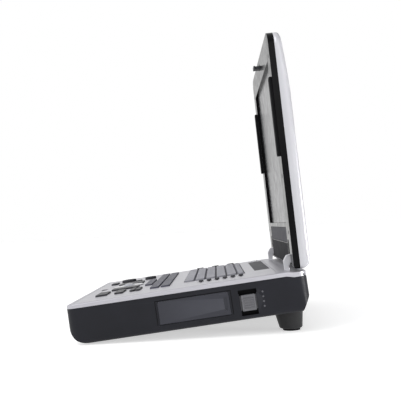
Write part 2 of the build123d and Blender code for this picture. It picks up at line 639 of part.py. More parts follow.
with BuildPart() as hinge_barrels:
    for side in (-1, 1):
        for start in (side * HINGE_X - 20, side * HINGE_X + 8):
            with BuildSketch(LID_SIDE.offset(start)):
                Circle(6)
                with Locations((3.5, -4.9)):
                    Rectangle(7, 9.8)
                with Locations((13, -8.65)):
                    Rectangle(26, 2.3)
                Circle(PIN_R + RUNNING, mode=Mode.SUBTRACT)
            extrude(amount=12)
save(hinge_barrels, "hinge_barrels")


# ---- Lid --------------------------------------------------------------------------------------
def lid_block():
    """The closed outline of the whole lid: its side profile cut to its rounded plan."""
    with BuildPart() as block:
        with BuildSketch(LID_SIDE):
            with BuildLine():
                heel = (LID_BOTTOM + LID_HEEL_R, LID_BACK)
                lower = Line(heel, LID_BEND[0])
                Spline(*LID_BEND, tangents=(lower % 1, lower % 1))
                Polyline(LID_BEND[-1], (LID_TOP, LID_FACE), (LID_BOTTOM, LID_FACE), (LID_BOTTOM, 0))
                RadiusArc((LID_BOTTOM, 0), heel, -LID_HEEL_R)
            make_face()
            fillet(vertices().sort_by_distance((LID_BOTTOM, LID_FACE))[0], radius=5)
            fillet(vertices().sort_by_distance(LID_BEND[-1])[0], radius=4)
        extrude(amount=LID_WIDTH / 2, both=True)
        with BuildSketch(LID.offset(-30)):
            with Locations((0, (LID_TOP + LID_BOTTOM) / 2)):
                Rectangle(LID_WIDTH, LID_TOP - LID_BOTTOM)
            fillet(vertices().group_by(Axis.Y)[-1], radius=22)
            fillet(vertices().group_by(Axis.Y)[0], radius=6)
        extrude(amount=60, mode=Mode.INTERSECT)
    return block.part


HALF = LID_WIDTH / 2 - LID_SHELL
GLASS_Z = LID_FACE - SCREEN_DEPTH
LID_SCREWS = [(side * 172, y) for side in (-1, 1) for y in (36, 120, 300)]
ARM_SLOTS = [(side * HINGE_X - ARM_WIDTH / 2 - 3, side * HINGE_X + ARM_WIDTH / 2 + 3)
             for side in (-1, 1)]

with BuildPart() as lid_bezel:
    add(lid_block())
    split(bisect_by=LID.offset(LID_SPLIT), keep=Keep.TOP)
    box_on(LID, (-HALF, HALF), (LID_BOTTOM + LID_SHELL + 2, LID_TOP - 22), (LID_SPLIT, GLASS_Z),
           mode=Mode.SUBTRACT)
    box_on(LID, (-SCREEN_WIDTH / 2, SCREEN_WIDTH / 2), (SCREEN_BOTTOM, SCREEN_TOP), (0, 20),
           mode=Mode.SUBTRACT)
    for slot in ARM_SLOTS:
        box_on(LID, slot, ARM_SLOT, (-20, 20), mode=Mode.SUBTRACT)
    half, low, high = CHIN_PANEL
    box_on(LID, (-half - BODY_GAP, half + BODY_GAP), (low - BODY_GAP, high + BODY_GAP),
           (LID_FACE - 1.5, 20), mode=Mode.SUBTRACT)
    posts_on(LID, LID_SCREWS, 3.2, (LID_FACE - 1.6, 20), mode=Mode.SUBTRACT)
    # latch: slot for the hook in the face, and for its slider in the top edge
    box_on(LID, (-9, 13), (HOOK_Y - 4.5, HOOK_Y + 5), (-1, 20), mode=Mode.SUBTRACT)
    box_on(LID, (-8, 12), (HOOK_Y + 4.5, LID_TOP + 1), (5, 9), mode=Mode.SUBTRACT)
save(lid_bezel, "lid_bezel")

with BuildPart() as lid_back_cover:
    add(lid_block())
    split(bisect_by=LID.offset(LID_SPLIT), keep=Keep.BOTTOM)
    with BuildSketch(LID_SIDE):
        with BuildLine():
            Polyline(
                (LID_BOTTOM + 5, 5), (LID_BOTTOM + 5, -3), (0, LID_BACK + LID_SHELL),
                (LID_BEND[0][0], LID_BACK + LID_SHELL), (LID_TOP - 22, -5), (LID_TOP - 22, 5),
                close=True)
        make_face()
    extrude(amount=HALF, both=True, mode=Mode.SUBTRACT)
    for slot in ARM_SLOTS:
        box_on(LID, slot, ARM_SLOT, (-8, 5), mode=Mode.SUBTRACT)
        box_on(LID, slot, (ARM_SLOT[0], -2), (-20, 5), mode=Mode.SUBTRACT)
    box_on(LID, (-9, 13), (HOOK_Y - 12, HOOK_Y + 5), (0, 5), mode=Mode.SUBTRACT)
save(lid_back_cover, "lid_back_cover")

with BuildPart() as display_glass:
    box_on(LID, (-156, 156), (SCREEN_BOTTOM - 4, SCREEN_TOP + 4), (GLASS_Z - 1.5, GLASS_Z))
save(display_glass, "display_glass")

with BuildPart() as lcd_panel:
    box_on(LID, (-156, 156), (SCREEN_BOTTOM - 4, SCREEN_TOP + 4), (-1, GLASS_Z - 1.5))
save(lcd_panel, "lcd_panel")

with BuildPart() as display_driver_board:
    box_on(LID, (-60, 60), (70, 120), (-6, -4.4))
    box_on(LID, (-40, 40), (90, 96), (-4.4, -1))
save(display_driver_board, "display_driver_board")

with BuildPart() as chin_panel:
    half, low, high = CHIN_PANEL
    box_on(LID, (-half, half), (low, high), (LID_FACE - 1.5, LID_FACE - 0.3))
save(chin_panel, "chin_panel")

with BuildPart() as side_strips:
    with BuildSketch(LID.offset(LID_FACE)):
        with Locations((-174, 208.5), (174, 208.5)):
            RectangleRounded(16, 118, 3)
    extrude(amount=4)
    fillet(side_strips.faces().group_by(Axis(LID.origin, LID.z_dir))[-1].edges(), radius=1.2)
save(side_strips, "side_strips")

with BuildPart() as lid_screws:
    posts_on(LID, LID_SCREWS, 3.0, (LID_FACE - 1.6, LID_FACE - 0.2))
save(lid_screws, "lid_screws")

with BuildPart() as latch_hook:
    box_on(LID, (-8, 8), (HOOK_Y - 2.5, HOOK_Y + 2.5), (1, 22.5))
    box_on(LID, (-8, 12), (HOOK_Y - 2.5, HOOK_Y + 2.5), (19.5, 22.5))
save(latch_hook, "latch_hook")

with BuildPart() as latch_slider:
    box_on(LID, (-7, 7), (HOOK_Y + 2.5, LID_TOP + 1.2), (5.5, 8.5))
save(latch_slider, "latch_slider")
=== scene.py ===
"""Looks of the clamshell console: materials, finer pieces, light and camera.

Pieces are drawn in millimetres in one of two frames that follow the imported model. BASE has x to the
right, y back from the deck's front edge and z out of the deck. LID has x to the right, y up the lid
from the hinge axis and z towards the user.
"""
import json
import math

import bmesh
import bpy
from mathutils import Matrix, Vector


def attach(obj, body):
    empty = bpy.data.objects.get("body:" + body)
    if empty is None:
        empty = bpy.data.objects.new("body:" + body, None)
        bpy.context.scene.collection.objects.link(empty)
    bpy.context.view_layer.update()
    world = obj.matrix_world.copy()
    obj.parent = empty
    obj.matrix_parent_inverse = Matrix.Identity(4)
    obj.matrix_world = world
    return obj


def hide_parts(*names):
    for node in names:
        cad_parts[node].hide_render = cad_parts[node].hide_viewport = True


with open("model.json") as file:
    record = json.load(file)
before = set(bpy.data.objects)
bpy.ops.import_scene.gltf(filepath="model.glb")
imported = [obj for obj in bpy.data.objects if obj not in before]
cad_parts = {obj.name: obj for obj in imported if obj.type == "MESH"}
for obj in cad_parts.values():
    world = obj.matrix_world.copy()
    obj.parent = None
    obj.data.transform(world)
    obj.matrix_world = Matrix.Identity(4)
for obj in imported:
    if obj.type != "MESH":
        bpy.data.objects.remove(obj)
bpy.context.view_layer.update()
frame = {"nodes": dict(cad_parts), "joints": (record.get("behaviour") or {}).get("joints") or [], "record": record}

NODES = frame["nodes"]
JOINTS = {joint["name"]: joint for joint in frame["joints"]}
SLOT_OF = {part["node"]: part["material_slot"] for part in frame["record"]["subparts"]}
MM = 0.001

# ---- Frames -----------------------------------------------------------------------------------
HINGE_Y, HINGE_Z = 347.4, 19  # hinge axis in BASE
LID_ANGLE = 92.3
BACK = Vector(JOINTS["side_door_hinge"]["axis"])
UP = Vector(JOINTS["side_latch_slide"]["axis"])
HINGE = Vector(JOINTS["lid_hinge"]["pos_m"])


def frame_matrix(origin, x_axis, y_axis, z_axis):
    """A frame whose own units are millimetres, at origin in metres."""
    matrix = Matrix((x_axis, y_axis, z_axis)).transposed().to_4x4()
    return Matrix.Translation(origin) @ matrix @ Matrix.Scale(MM, 4)


BASE = frame_matrix(HINGE - (BACK * HINGE_Y + UP * HINGE_Z) * MM, Vector((1, 0, 0)), BACK, UP)
LID = BASE @ Matrix.Translation((0, HINGE_Y, HINGE_Z)) @ Matrix.Rotation(
    math.radians(180 - LID_ANGLE), 4, "X")


# ---- Materials --------------------------------------------------------------------------------
COAT_ROUGHNESS = 0.08
MOTTLE_SCALE, ROUGHNESS_SCALE = 22, 60  # noise scales, per metre of object space
NOISE_RANGE = (0.3, 0.7)  # the part of the noise that is stretched over the full span
EDGE_RANGE = (0.53, 0.62)  # pointiness from a plain surface to a worn edge


def surface(name, color, rough, metallic=0.0, specular=0.5, coat=0.0, grain=1400.0, depth=0.00004,
            mottle=0.06, rough_range=0.08, wear=0.0, brushed=1.0):
    """Moulded plastic, paint or metal: fine grain in the bump, faint mottling, paler worn edges.

    Grain is the bump's noise scale, depth its height in metres and brushed its stretch along x.
    """
    material = bpy.data.materials.new(name)
    material.use_nodes = True
    nodes, links = material.node_tree.nodes, material.node_tree.links
    shader = nodes["Principled BSDF"]
    shader.inputs["Metallic"].default_value = metallic
    shader.inputs["Specular IOR Level"].default_value = specular
    shader.inputs["Coat Weight"].default_value = coat
    shader.inputs["Coat Roughness"].default_value = COAT_ROUGHNESS
    place = nodes.new("ShaderNodeTexCoord")

    def noise(scale, detail, stretch=1.0):
        """Noise in object space, stretched along x."""
        texture = nodes.new("ShaderNodeTexNoise")
        texture.inputs["Scale"].default_value = scale
        texture.inputs["Detail"].default_value = detail
        mapping = nodes.new("ShaderNodeMapping")
        mapping.inputs["Scale"].default_value = (1 / stretch, 1, 1)
        links.new(place.outputs["Object"], mapping.inputs["Vector"])
        links.new(mapping.outputs["Vector"], texture.inputs["Vector"])
        return texture.outputs["Fac"]

    def span(value, low, high):
        """Noise mapped to a span of values."""
        ranged = nodes.new("ShaderNodeMapRange")
        ranged.inputs["From Min"].default_value = NOISE_RANGE[0]
        ranged.inputs["From Max"].default_value = NOISE_RANGE[1]
        ranged.inputs["To Min"].default_value = low
        ranged.inputs["To Max"].default_value = high
        links.new(value, ranged.inputs["Value"])
        return ranged.outputs["Result"]

    def tint(factor, first, second):
        """Mix of two colours, each of them a tuple or another node's output."""
        mix = nodes.new("ShaderNodeMix")
        mix.data_type = "RGBA"
        links.new(factor, mix.inputs["Factor"])
        for socket, value in ((mix.inputs["A"], first), (mix.inputs["B"], second)):
            if isinstance(value, tuple):
                socket.default_value = (*value, 1)
            else:
                links.new(value, socket)
        return mix.outputs["Result"]

    dark = tuple(channel * (1 - mottle) for channel in color)
    light = tuple(min(1, channel * (1 + mottle)) for channel in color)
    shade = tint(span(noise(MOTTLE_SCALE, 4), 0, 1), dark, light)
    if wear:
        edge = nodes.new("ShaderNodeNewGeometry").outputs["Pointiness"]
        worn = nodes.new("ShaderNodeMapRange")
        worn.inputs["From Min"].default_value = EDGE_RANGE[0]
        worn.inputs["From Max"].default_value = EDGE_RANGE[1]
        worn.inputs["To Max"].default_value = wear
        links.new(edge, worn.inputs["Value"])
        bare = tuple(min(1, channel * 1.8 + 0.03) for channel in color)
        shade = tint(worn.outputs["Result"], shade, bare)
    links.new(shade, shader.inputs["Base Color"])
    gloss = noise(ROUGHNESS_SCALE, 3, brushed)
    links.new(span(gloss, rough - rough_range / 2, rough + rough_range / 2),
              shader.inputs["Roughness"])
    bump = nodes.new("ShaderNodeBump")
    bump.inputs["Distance"].default_value = depth
    links.new(noise(grain, 2, brushed), bump.inputs["Height"])
    links.new(bump.outputs["Normal"], shader.inputs["Normal"])
    return material


MATERIALS = {
    "case_charcoal": surface("case_charcoal", (0.009, 0.0095, 0.0135), 0.42, specular=0.2,
                             depth=0.00012, mottle=0.15, wear=0.3),
    "door_charcoal": surface("door_charcoal", (0.026, 0.027, 0.036), 0.34, specular=0.3,
                             depth=0.00004, mottle=0.12, wear=0.5),
    "deck_silver": surface("deck_silver", (0.42, 0.415, 0.45), 0.34, metallic=0.25, depth=0.00004,
                           mottle=0.025, rough_range=0.05),
    "lid_silver": surface("lid_silver", (0.52, 0.52, 0.55), 0.34, metallic=0.2, depth=0.00004,
                          mottle=0.02, rough_range=0.05),
    "bezel_black": surface("bezel_black", (0.0015, 0.0015, 0.002), 0.2, specular=0.1,
                           depth=0.00002, mottle=0.2),
    "key_light": surface("key_light", (0.27, 0.27, 0.305), 0.48, specular=0.35, grain=2200),
    "key_dark": surface("key_dark", (0.022, 0.022, 0.028), 0.44, specular=0.4, wear=0.3),
    "key_blue_grey": surface("key_blue_grey", (0.062, 0.062, 0.088), 0.44, specular=0.4, wear=0.3),
    "latch_grey": surface("latch_grey", (0.10, 0.10, 0.11), 0.48, wear=0.3),
    "socket_black": surface("socket_black", (0.004, 0.004, 0.005), 0.6, specular=0.1, mottle=0.2),
    "chin_grey": surface("chin_grey", (0.075, 0.075, 0.085), 0.7, specular=0.15),
    "chin_black": surface("chin_black", (0.012, 0.012, 0.015), 0.7, specular=0.12, mottle=0.15),
    "rubber_black": surface("rubber_black", (0.006, 0.006, 0.007), 0.8, specular=0.12,
                            depth=0.00008, mottle=0.2),
    "foot_grey": surface("foot_grey", (0.026, 0.026, 0.027), 0.36, specular=0.1, wear=0.3),
    "ball_grey": surface("ball_grey", (0.30, 0.31, 0.35), 0.16, coat=0.5, depth=0.00001),
    "ring_silver": surface("ring_silver", (0.66, 0.66, 0.68), 0.3, metallic=0.8, brushed=8.0),
    "screen_glass": surface("screen_glass", (0.020, 0.021, 0.024), 0.22, depth=0.00001),
    "lcd_module": surface("lcd_module", (0.03, 0.03, 0.03), 0.5),
    "window_glass": surface("window_glass", (0.010, 0.010, 0.018), 0.5, specular=0.2,
                            depth=0.00001),
    "lens_white": surface("lens_white", (0.09, 0.09, 0.10), 0.45, specular=0.25),
    "hinge_silver": surface("hinge_silver", (0.58, 0.58, 0.61), 0.38, metallic=0.3),
    "steel": surface("steel", (0.42, 0.42, 0.44), 0.3, metallic=1.0, brushed=6.0),
    "fin_aluminium": surface("fin_aluminium", (0.6, 0.6, 0.62), 0.35, metallic=1.0, brushed=10.0),
    "circuit_board": surface("circuit_board", (0.006, 0.035, 0.018), 0.4, mottle=0.2),
    "battery_grey": surface("battery_grey", (0.04, 0.04, 0.045), 0.5),
}

# Nodes whose finish differs from their slot's: the door is a little paler than the case, and the
# board behind the deck's latch slot is dark.
FINISH_OF = {"side_door": "door_charcoal", "control_board": "lcd_module"}
for node_name, node in NODES.items():
    node.data.materials.clear()
    node.data.materials.append(MATERIALS[FINISH_OF.get(node_name, SLOT_OF[node_name])])

# ---- Softer edges on the CAD nodes that stay --------------------------------------------------
SMOOTH_ANGLE = math.radians(32)
WELD_DISTANCE = 0.000005  # in metres
EDGE_WIDTHS = {  # in millimetres
    "bottom_case": 0.8, "top_deck": 0.6, "lid_bezel": 1.2, "side_door": 0.7, "side_latch": 0.8,
    "trackball_key_left": 0.3, "trackball_key_right": 0.3, "hinge_brackets": 0.9,
    "latch_hook": 0.5, "latch_slider": 0.5, "chin_panel": 0.3, "display_glass": 0.3,
    "side_strips": 0.3, "rear_feet": 0.4, "rear_foot_pads": 0.6, "front_pads": 0.6,
    "status_window": 0.3, "indicator_lenses": 0.2, "side_ports": 0.4, "latch_housing": 0.4,
    "rear_connector_panel": 0.4, "hinge_barrels": 0.4, "trackball_ring": 0.2, "power_button": 0.2,
}


def smoothing_group():
    """Node group that shades smooth and keeps edges sharper than the angle as creases."""
    group = bpy.data.node_groups.new("smooth_by_angle", "GeometryNodeTree")
    group.interface.new_socket("Geometry", in_out="INPUT", socket_type="NodeSocketGeometry")
    group.interface.new_socket("Geometry", in_out="OUTPUT", socket_type="NodeSocketGeometry")
    nodes, links = group.nodes, group.links
    source, result = nodes.new("NodeGroupInput"), nodes.new("NodeGroupOutput")
    faces, edges = (nodes.new("GeometryNodeSetShadeSmooth") for _ in range(2))
    edges.domain = "EDGE"
    edges.inputs["Shade Smooth"].default_value = False
    angle = nodes.new("GeometryNodeInputMeshEdgeAngle")
    steep = nodes.new("FunctionNodeCompare")
    steep.operation = "GREATER_THAN"
    steep.inputs["B"].default_value = SMOOTH_ANGLE
    links.new(source.outputs[0], faces.inputs["Geometry"])
    links.new(faces.outputs["Geometry"], edges.inputs["Geometry"])
    links.new(angle.outputs["Unsigned Angle"], steep.inputs["A"])
    links.new(steep.outputs["Result"], edges.inputs["Selection"])
    links.new(edges.outputs["Geometry"], result.inputs[0])
    return group


SMOOTHING = smoothing_group()


def soften(obj, width=0.0):
    """Shade smooth and round the sharp edges with modifiers alone."""
    weld = obj.modifiers.new("weld", "WELD")
    weld.merge_threshold = WELD_DISTANCE
    smooth = obj.modifiers.new("smooth", "NODES")
    smooth.node_group = SMOOTHING
    if width:
        bevel = obj.modifiers.new("bevel", "BEVEL")
        bevel.width = width * MM
        bevel.segments = 2
        bevel.limit_method = "ANGLE"
        bevel.angle_limit = SMOOTH_ANGLE
        bevel.harden_normals = True


for node_name, node in NODES.items():
    soften(node, EDGE_WIDTHS.get(node_name, 0.0))


# ---- Mesh helpers -----------------------------------------------------------------------------
TOP_TOLERANCE = 0.02  # faces this close under a node's highest point belong to its flat tops


def corners_in(place, node_name):
    """Lowest and highest corner of a CAD node in a frame, in millimetres."""
    to_local = place.inverted()
    points = [to_local @ vertex.co for vertex in NODES[node_name].data.vertices]
    return (Vector([min(point[i] for point in points) for i in range(3)]),
            Vector([max(point[i] for point in points) for i in range(3)]))


def flat_tops(node_name):
    """Rectangles (x, y, width, depth) of the separate flat tops of a CAD node in BASE."""
    to_local = BASE.inverted()
    mesh = NODES[node_name].data
    points = [to_local @ vertex.co for vertex in mesh.vertices]
    top = max(point.z for point in points) - TOP_TOLERANCE
    islands = []
    for polygon in mesh.polygons:
        if min(points[index].z for index in polygon.vertices) < top:
            continue
        corners = {tuple(round(value, 3) for value in points[index]) for index in polygon.vertices}
        touching = [island for island in islands if island & corners]
        islands = [island for island in islands if not island & corners]
        islands.append(corners.union(*touching))
    tops = []
    for island in islands:
        xs, ys = [point[0] for point in island], [point[1] for point in island]
        tops.append(((min(xs) + max(xs)) / 2, (min(ys) + max(ys)) / 2,
                     max(xs) - min(xs), max(ys) - min(ys)))
    return sorted(tops)


def ring(width, depth, corner, x=0.0, y=0.0, z=0.0, steps=4):
    """Rounded rectangle of points about (x, y) at height z."""
    corner = max(0.02, min(corner, width / 2, depth / 2))
    points = []
    for quarter, (side_x, side_y) in enumerate(((1, 1), (-1, 1), (-1, -1), (1, -1))):
        for step in range(steps + 1):
            angle = math.radians(90 * (quarter + step / steps))
            points.append((x + side_x * (width / 2 - corner) + corner * math.cos(angle),
                           y + side_y * (depth / 2 - corner) + corner * math.sin(angle), z))
    return points


def loft(mesh, rings, capped=True):
    """Skin between rings of equal length, with a face over the first and last ring if capped."""
    loops = [[mesh.verts.new(point) for point in points] for points in rings]
    for low, high in zip(loops, loops[1:]):
        for i in range(len(low)):
            j = (i + 1) % len(low)
            mesh.faces.new((low[i], low[j], high[j], high[i]))
    if capped:
        mesh.faces.new(list(reversed(loops[0])))
        mesh.faces.new(loops[-1])


def block(mesh, low, high, corner=0.3):
    """Box with slightly rounded upright edges between two corners."""
    x, y = (low[0] + high[0]) / 2, (low[1] + high[1]) / 2
    width, depth = high[0] - low[0], high[1] - low[1]
    loft(mesh, [ring(width, depth, corner, x, y, z) for z in (low[2], high[2])])


def disc_of(node_name):
    """Centre and radius in BASE of an upright round CAD node, with its lowest and highest z."""
    low, high = corners_in(BASE, node_name)
    return (low.x + high.x) / 2, (low.y + high.y) / 2, (high.x - low.x) / 2, low.z, high.z


SHOULDER_TURNS = (30, 60, 90)  # degrees of the shoulder's rounding at each ring
DISH_SCALES = (0.8, 0.55, 0.3, 0.08)  # sizes of the rings in the dished top, against its rim


def keycap(mesh, x, y, width, depth, low, high, edge, dish, draft=0.0, corner=1.5):
    """Cap with drafted sides, a rounded shoulder and a dished top; width and depth at the shoulder."""
    rings = [ring(width + 2 * draft, depth + 2 * draft, corner, x, y, low),
             ring(width, depth, corner, x, y, high - edge)]
    for turn in map(math.radians, SHOULDER_TURNS):
        inset = edge * (1 - math.cos(turn))
        rings.append(ring(width - 2 * inset, depth - 2 * inset, corner, x, y,
                          high - edge * (1 - math.sin(turn))))
    for scale in DISH_SCALES:
        rings.append(ring((width - 2 * edge) * scale, (depth - 2 * edge) * scale, corner * scale,
                          x, y, high - dish * (1 - scale * scale)))
    loft(mesh, rings)


def piece(name, mesh, place, body, slot, replaced=()):
    """Make the drawn mesh an object that rides on a body and stands for CAD nodes."""
    mesh.transform(place)
    bmesh.ops.recalc_face_normals(mesh, faces=mesh.faces)
    data = bpy.data.meshes.new(name)
    mesh.to_mesh(data)
    mesh.free()
    data.shade_smooth()
    data.set_sharp_from_angle(angle=SMOOTH_ANGLE)
    data.materials.append(MATERIALS[slot])
    obj = bpy.data.objects.new(name, data)
    bpy.context.scene.collection.objects.link(obj)
    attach(obj, body)
    if replaced:
        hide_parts(*replaced)
    return obj


# ---- Keys -------------------------------------------------------------------------------------
ROW_DRAFT = 0.55
ROW_EDGE, ROW_DISH = 0.6, 0.3
ROWS = [f"key_row_{number}" for number in range(1, 7)]
CLUSTERS = ["left_key_cluster", "right_key_cluster", "function_keys", "side_keys"]
CLUSTER_EDGE, CLUSTER_DISH = 0.8, 0.4
PLATE = 1.0  # thickness of the plate under the caps

for node_name in ROWS + CLUSTERS:
    mesh = bmesh.new()
    low, high = corners_in(BASE, node_name)
    block(mesh, low, (high.x, high.y, low.z + PLATE))
    for x, y, width, depth in flat_tops(node_name):
        if node_name in ROWS:
            keycap(mesh, x, y, width, depth, low.z + PLATE, high.z,
                   edge=ROW_EDGE, draft=ROW_DRAFT, dish=ROW_DISH)
        else:
            keycap(mesh, x, y, width + 2 * CLUSTER_EDGE, depth + 2 * CLUSTER_EDGE,
                   low.z + PLATE, high.z, edge=CLUSTER_EDGE, dish=CLUSTER_DISH)
    piece(f"{node_name}_caps", mesh, BASE, node_name, SLOT_OF[node_name], [node_name])

# ---- Printed marks ----------------------------------------------------------------------------
LEGENDS = {  # the ordinary characters of each row, and how many keys come before them
    "key_row_2": (1, list("ZXCVBNM,./")), "key_row_3": (1, list("ASDFGHJKL;'")),
    "key_row_4": (1, list("QWERTYUIOP[]")), "key_row_5": (0, list("`1234567890-=")),
    "key_row_6": (1, [f"F{number}" for number in range(1, 13)]),
}
LEGEND_SIZE = 4.2
SMALL_LEGEND = 0.75  # size of a legend with more than one character, against LEGEND_SIZE
LEGEND_LEFT, LEGEND_UP = 1 / 5, 1 / 12  # a legend's shift from the cap's centre, against the cap
PRINT = 0.05  # how far a printed mark stands off the plastic


def write(mesh, text, x, y, z, size):
    """Add the flat outline of a short text, centred on (x, y)."""
    curve = bpy.data.curves.new("legend", "FONT")
    curve.body = text
    curve.size = size
    curve.align_x, curve.align_y = "CENTER", "CENTER"
    curve.resolution_u = 3
    holder = bpy.data.objects.new("legend", curve)
    outline = bpy.data.meshes.new_from_object(holder)
    outline.transform(Matrix.Translation((x, y, z)))
    mesh.from_mesh(outline)
    bpy.data.objects.remove(holder)
    bpy.data.curves.remove(curve)
    bpy.data.meshes.remove(outline)


for node_name, (skipped, legends) in LEGENDS.items():
    mesh = bmesh.new()
    height = corners_in(BASE, node_name)[1].z - ROW_DISH + 2 * PRINT
    size = LEGEND_SIZE if len(legends[0]) == 1 else LEGEND_SIZE * SMALL_LEGEND
    for (x, y, width, depth), text in zip(flat_tops(node_name)[skipped:], legends):
        write(mesh, text, x - LEGEND_LEFT * width, y + LEGEND_UP * depth, height, size)
    piece(f"{node_name}_legends", mesh, BASE, node_name, "key_dark")


def tick(mesh, x, y, width, depth):
    """Short printed bar on the deck."""
    block(mesh, (x - width / 2, y - depth / 2, 0), (x + width / 2, y + depth / 2, PRINT), 0.1)


SLIDERS = [f"level_slider_{number}" for number in range(1, 7)]
SLIDER_TICK_PITCH, SLIDER_TICK_OFFSET = 6, -5.0
TICK_WIDTH, SHORT_TICK, LONG_TICK = 0.5, 1.4, 2.2
DIALS = ("front_dial", "rear_dial")
DIAL_TICKS, DIAL_TICK_GAP, DIAL_TICK = 11, 2.2, 0.9
DIAL_FIRST_TICK, DIAL_SWEEP = 225, 270  # in degrees

mesh = bmesh.new()
for node_name in SLIDERS:
    x, y = disc_of(node_name)[:2]
    for step in range(-2, 3):
        length = SHORT_TICK if step else LONG_TICK
        tick(mesh, x + SLIDER_TICK_PITCH * step, y + SLIDER_TICK_OFFSET, TICK_WIDTH, length)
for node_name in DIALS:
    x, y, radius = disc_of(node_name)[:3]
    reach = radius + DIAL_TICK_GAP
    for step in range(DIAL_TICKS):
        angle = math.radians(DIAL_FIRST_TICK - DIAL_SWEEP * step / (DIAL_TICKS - 1))
        tick(mesh, x + reach * math.cos(angle), y + reach * math.sin(angle), DIAL_TICK, DIAL_TICK)
piece("deck_print", mesh, BASE, "base", "key_dark")

# ---- Sliders ----------------------------------------------------------------------------------
ABOVE_DECK = 0.3  # gap between the deck and a knob
STEM_WIDTH, STEM_DEPTH = 4, 2

for node_name in SLIDERS:
    low, high = corners_in(BASE, node_name)
    x, y = (low.x + high.x) / 2, (low.y + high.y) / 2
    width, depth = high.x - low.x, high.y - low.y
    mesh = bmesh.new()
    block(mesh, (x - STEM_WIDTH / 2, y - STEM_DEPTH / 2, low.z),
          (x + STEM_WIDTH / 2, y + STEM_DEPTH / 2, ABOVE_DECK))
    outlines = (  # width, depth, corner and height, from the skirt up to the ridge of the grip
        (width, depth, 1, ABOVE_DECK), (width - 0.3, depth - 0.3, 1, 1.2),
        (width - 1.2, depth - 0.6, 0.9, 1.7), (3.4, depth - 1.0, 0.8, high.z - 0.4),
        (2.8, depth - 1.4, 0.6, high.z - 0.1), (1.8, depth - 2.4, 0.4, high.z))
    loft(mesh, [ring(across, along, corner, x, y, z) for across, along, corner, z in outlines])
    piece(f"{node_name}_knob", mesh, BASE, node_name, "key_dark", [node_name])

# ---- Dials ------------------------------------------------------------------------------------
DIAL_GRIPS = 30
DIAL_POINTS = 240
DIAL_STEM = 3  # radius
DIAL_MARK_WIDTH = 1.0


def grip_ring(x, y, radius, z, depth):
    """Circle of points whose radius dips by depth once per grip."""
    points = []
    for step in range(DIAL_POINTS):
        angle = 2 * math.pi * step / DIAL_POINTS
        reach = radius - depth * (0.5 - 0.5 * math.cos(DIAL_GRIPS * angle)) ** 2
        points.append((x + reach * math.cos(angle), y + reach * math.sin(angle), z))
    return points


for node_name in DIALS:
    x, y, radius, bottom, top = disc_of(node_name)
    mesh = bmesh.new()
    loft(mesh, [grip_ring(x, y, DIAL_STEM, z, 0) for z in (bottom, ABOVE_DECK)])
    outlines = (  # radius, height and depth of the grips, from the skirt to the middle of the top
        (radius, ABOVE_DECK, 0.0), (radius, 0.9, 0.6), (radius - 0.3, top - 0.9, 0.6),
        (radius - 0.7, top - 0.3, 0.3), (radius - 1.4, top, 0.0), (radius - 2.2, top - 0.1, 0.0),
        (radius - 2.8, top - 0.7, 0.0), (radius * 0.4, top - 0.9, 0.0), (0.3, top - 1.0, 0.0))
    loft(mesh, [grip_ring(x, y, reach, z, grip) for reach, z, grip in outlines])
    piece(f"{node_name}_knob", mesh, BASE, node_name, "key_dark", [node_name])
    mesh = bmesh.new()
    block(mesh, (x - DIAL_MARK_WIDTH / 2, y + radius * 0.45, top - 1.0),
          (x + DIAL_MARK_WIDTH / 2, y + radius - 3, top - 0.5))
    piece(f"{node_name}_mark", mesh, BASE, node_name, "lens_white")

# ---- Back cover of the lid --------------------------------------------------------------------
COVER_EDGE = 5.5  # rounding of the back's outer edge
COVER_EDGE_START = 20  # the rounding grows from nothing to COVER_EDGE over this height
COVER_SHELL = 3.0
COVER_CORNER, COVER_LOW_CORNER = 22, 6  # radii of the outline's upper and lower corners
COVER_INSETS = [0, 0.1, 0.5, 1.2, 2.2, 3.6, COVER_EDGE, 8, 12, 17, 25, 45, 80, 120, 160]
CORNER_STEPS, LOW_CORNER_STEPS, SIDE_STEPS = 8, 5, 40
HEEL_R = 15.0  # the back's round end at the hinge
BACK_BEND = 240  # height above which the back is drawn in
BACK_CURVE = 1.35
TOP_BACK = -7.3  # the back's z at the lid's top edge

cover_low, cover_high = corners_in(LID, "lid_back_cover")


def cover_back(y):
    """Height in LID of the cover's back at y: round heel, straight, drawn in towards the top."""
    if y < cover_low.y + HEEL_R:
        part = (cover_low.y + HEEL_R - y) / HEEL_R
        return cover_low.z * math.sqrt(max(0.0, 1 - part * part))
    if y < BACK_BEND:
        return cover_low.z
    part = (y - BACK_BEND) / (cover_high.y - BACK_BEND)
    return cover_low.z + (TOP_BACK - cover_low.z) * part ** BACK_CURVE


def quarter_angles(steps):
    """Angles along a quarter circle."""
    return [math.radians(90 * step / steps) for step in range(steps + 1)]


def cover_ring(inset):
    """Outline of the cover at an inset, at the height that its rounded edge has there."""
    half = cover_high.x - inset
    bottom, top = cover_low.y + inset, cover_high.y - inset
    upper, lower = max(COVER_CORNER - inset, 2), max(COVER_LOW_CORNER - inset, 1)
    upper_corner = [(half - upper + upper * math.cos(angle), top - upper + upper * math.sin(angle))
                    for angle in quarter_angles(CORNER_STEPS)]
    left_side = [(-half, top - upper + (bottom + lower - top + upper) * step / SIDE_STEPS)
                 for step in range(1, SIDE_STEPS)]
    lower_corner = [(-half + lower - lower * math.cos(angle),
                     bottom + lower - lower * math.sin(angle))
                    for angle in quarter_angles(LOW_CORNER_STEPS)]
    outline = upper_corner + [(-x, y) for x, y in reversed(upper_corner)] + left_side + lower_corner
    outline += [(-x, y) for x, y in reversed(lower_corner)] + [(-x, y) for x, y in reversed(left_side)]
    points = []
    for x, y in outline:
        edge = COVER_EDGE * min(1, max(0, (y - cover_low.y) / COVER_EDGE_START))
        rise = edge - math.sqrt(max(0, edge ** 2 - (edge - min(inset, edge)) ** 2)) if edge else 0
        points.append((x, y, min(cover_back(y) + rise, cover_high.z)))
    return points


